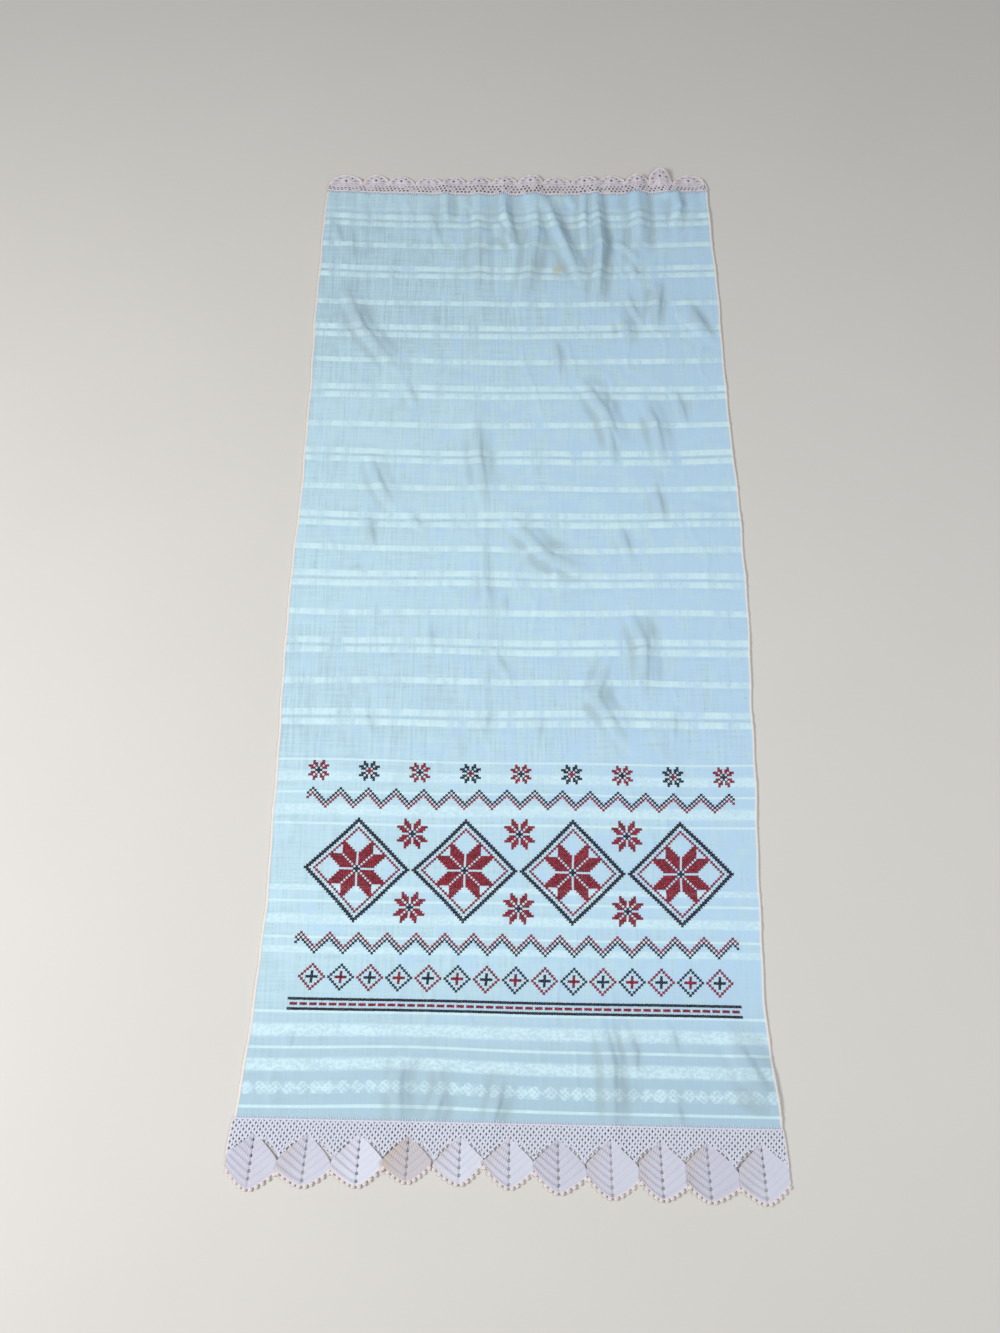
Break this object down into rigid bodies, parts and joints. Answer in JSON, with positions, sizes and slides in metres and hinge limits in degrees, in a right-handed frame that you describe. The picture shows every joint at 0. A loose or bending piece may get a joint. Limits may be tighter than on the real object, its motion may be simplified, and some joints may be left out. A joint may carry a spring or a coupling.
{
  "type": "rushnyk ritual towel",
  "caption": "Long handwoven ritual towel lying face up, with striped cloth, an embroidered lower end and crocheted lace along both short ends.",
  "frame": {"origin": "near the middle of the cloth, on its flat underside, which is the surface that it lies on", "axes": "+X across the towel, to the right as its face is seen; +Y up its length, from the embroidered end to the narrow lace; +Z out of the face that shows"},
  "size_m": [0.45, 1.0325, 0.0073],
  "materials": {
    "cloth": "matt woven cotton in a pale cool blue-white, with brighter weft stripes and mottled bands",
    "lace": "matt crocheted cotton yarn, white with a lilac cast and a pinkish edge"
  },
  "bodies": {
    "root": {"cloth": "cloth", "lace_bottom": "lace", "lace_top": "lace"}
  },
  "joints": []
}
